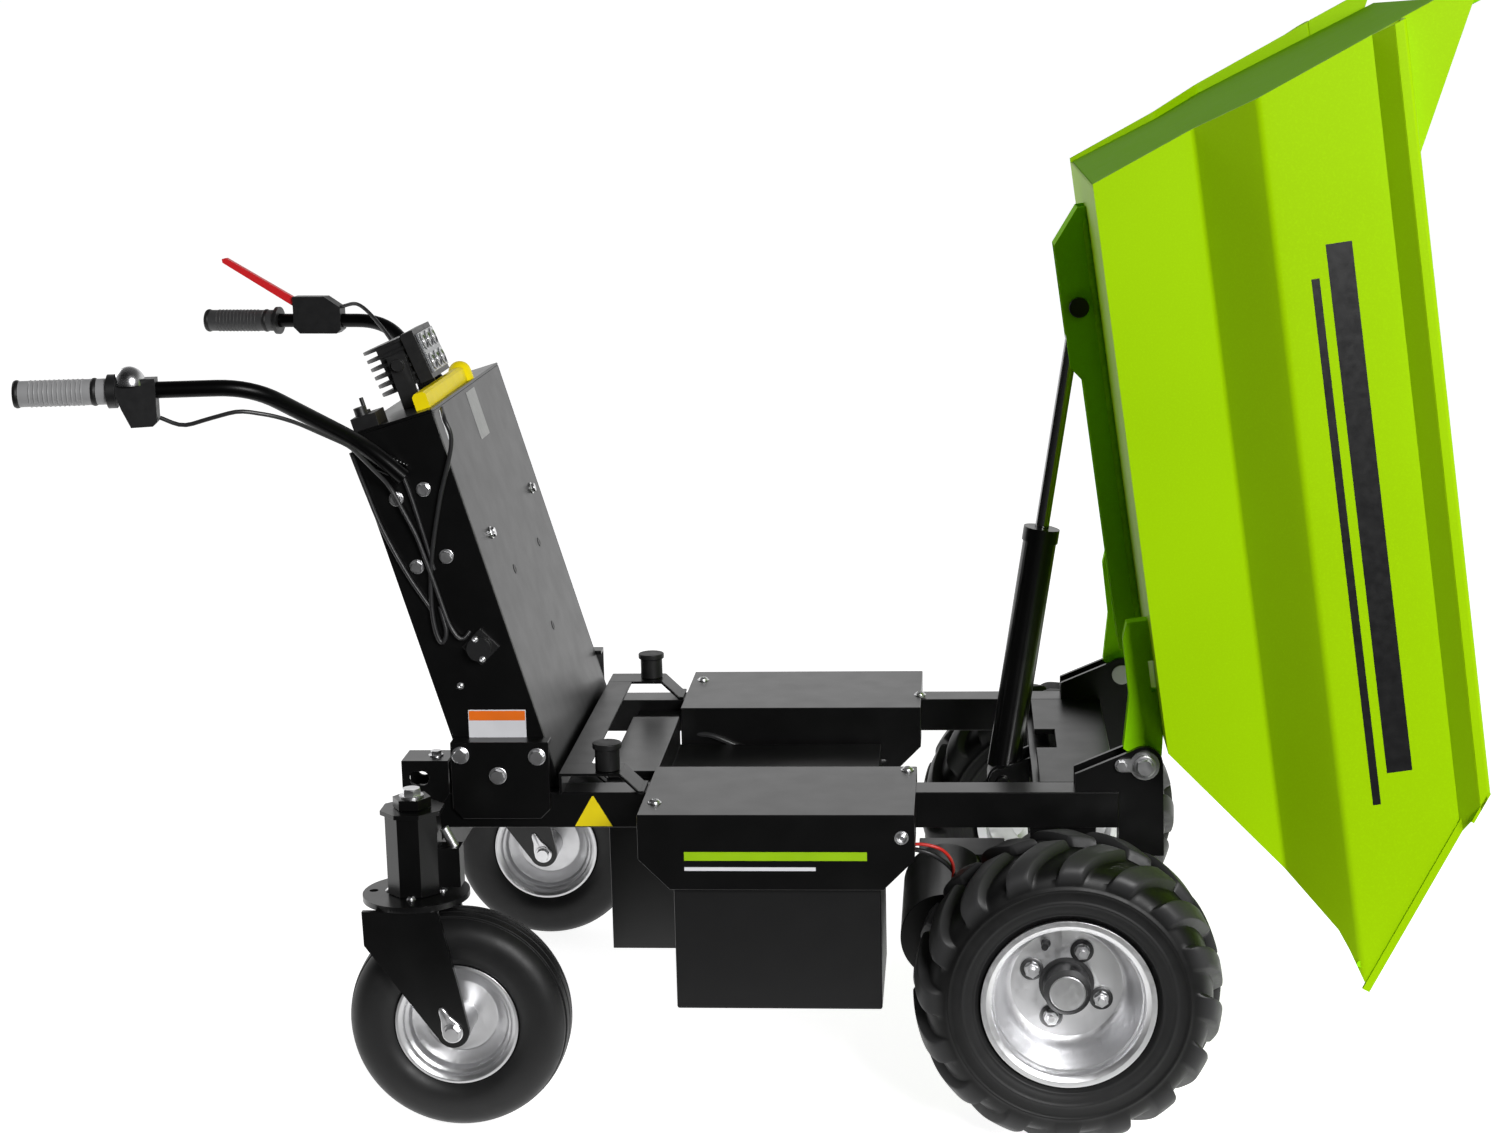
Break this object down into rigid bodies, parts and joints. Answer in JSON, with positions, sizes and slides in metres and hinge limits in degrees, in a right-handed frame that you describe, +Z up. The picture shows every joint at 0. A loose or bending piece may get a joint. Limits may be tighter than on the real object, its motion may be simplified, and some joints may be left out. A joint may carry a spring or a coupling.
{
  "type": "battery site dumper",
  "caption": "Walk-behind battery dumper: a folded steel tub tips forward over driven wheels, lifted by a cylinder, with swivel castors and a leaning control column.",
  "frame": {"origin": "on the ground under the middle of the machine's box", "axes": "+X forward towards the tub, +Y to the left, +Z up"},
  "size_m": [1.8834, 0.9618, 1.4967],
  "materials": {
    "tyre_rubber": "matt moulded rubber",
    "soft_rubber": "matt",
    "zinc": "zinc plated, satin",
    "rod_chrome": "ground and chromed",
    "dark_lime_paint": "satin powder coat",
    "lime_paint": "satin powder coat",
    "black_plastic": "fine grain",
    "lamp_casting": "black anodised",
    "lens": "clear",
    "yellow_plastic": "gloss",
    "red_paint": "gloss",
    "panel_paint": "satin powder coat",
    "frame_paint": "satin powder coat"
  },
  "bodies": {
    "chassis": {"rail_right": "frame_paint", "rail_left": "frame_paint", "front_cross_plate": "panel_paint", "lift_cross_tube": "frame_paint", "rear_cross_beam": "frame_paint", "lashing_bracket_right": "frame_paint", "lashing_bracket_left": "frame_paint", "foot_plate_right": "frame_paint", "foot_plate_left": "frame_paint", "hinge_bracket_right": "frame_paint", "hinge_bracket_left": "frame_paint", "hinge_pins": "zinc", "buffer_bridge": "panel_paint", "rubber_buffers": "soft_rubber", "column_shell": "frame_paint", "column_front_cover": "panel_paint", "column_top_plate": "panel_paint", "handlebar_right": "frame_paint", "handlebar_left": "frame_paint", "grip_right": "soft_rubber", "grip_left": "soft_rubber", "throttle_unit": "black_plastic", "brake_lever": "black_plastic", "lever_blade": "red_paint", "work_lamp": "lamp_casting", "lamp_lens": "lens", "emergency_stop": "yellow_plastic", "switch_block": "black_plastic", "charge_socket": "black_plastic", "control_cable": "soft_rubber", "cover_right": "panel_paint", "cover_left": "panel_paint", "battery_box_right": "frame_paint", "battery_box_left": "frame_paint", "control_box": "black_plastic", "drive_axle": "frame_paint", "drive_motor": "frame_paint", "cylinder_foot": "frame_paint"},
    "tub": {"tub_floor": "lime_paint", "tub_side_right": "lime_paint", "tub_side_left": "lime_paint", "tub_back": "lime_paint", "tub_subframe": "dark_lime_paint", "rod_pin_bolts": "frame_paint"},
    "lift_barrel": {"lift_barrel": "frame_paint"},
    "lift_rod": {"lift_rod": "rod_chrome"},
    "drive_wheel_right": {"drive_rim_right": "zinc", "drive_tyre_right": "tyre_rubber"},
    "castor_fork_right": {"castor_fork_right": "frame_paint"},
    "castor_wheel_right": {"castor_rim_right": "zinc", "castor_tyre_right": "tyre_rubber"},
    "drive_wheel_left": {"drive_rim_left": "zinc", "drive_tyre_left": "tyre_rubber"},
    "castor_fork_left": {"castor_fork_left": "frame_paint"},
    "castor_wheel_left": {"castor_rim_left": "zinc", "castor_tyre_left": "tyre_rubber"}
  },
  "joints": [
    {"name": "tub_tip", "type": "hinge", "parent": "chassis", "child": "tub", "pos_m": [0.51969, 0, 0.469], "axis": [0, -1, 0], "range_deg": [0, 82.3]},
    {"name": "barrel_swing", "type": "hinge", "parent": "chassis", "child": "lift_barrel", "pos_m": [0.33269, 0, 0.375], "axis": [0, -1, 0], "range_deg": [0, 85.97]},
    {"name": "rod_stroke", "type": "slide", "parent": "lift_barrel", "child": "lift_rod", "axis": [-0.1561, 0, -0.9877], "range_m": [0, 0.27357]},
    {"name": "drive_spin_right", "type": "hinge", "parent": "chassis", "child": "drive_wheel_right", "pos_m": [0.41069, -0.4, 0.203], "axis": [0, 1, 0], "continuous": true},
    {"name": "castor_swivel_right", "type": "hinge", "parent": "chassis", "child": "castor_fork_right", "pos_m": [-0.45931, -0.385, 0.3], "axis": [0, 0, 1], "continuous": true},
    {"name": "castor_spin_right", "type": "hinge", "parent": "castor_fork_right", "child": "castor_wheel_right", "pos_m": [-0.40531, -0.385, 0.15], "axis": [0, 1, 0], "continuous": true},
    {"name": "drive_spin_left", "type": "hinge", "parent": "chassis", "child": "drive_wheel_left", "pos_m": [0.41069, 0.4, 0.203], "axis": [0, 1, 0], "continuous": true},
    {"name": "castor_swivel_left", "type": "hinge", "parent": "chassis", "child": "castor_fork_left", "pos_m": [-0.45931, 0.385, 0.3], "axis": [0, 0, 1], "continuous": true},
    {"name": "castor_spin_left", "type": "hinge", "parent": "castor_fork_left", "child": "castor_wheel_left", "pos_m": [-0.40531, 0.385, 0.15], "axis": [0, 1, 0], "continuous": true}
  ],
  "couplings": [
    {"joint": "barrel_swing", "follows": "tub_tip", "ratio": 1.0433},
    {"joint": "rod_stroke", "follows": "tub_tip", "m_per_rad": 0.19032}
  ]
}
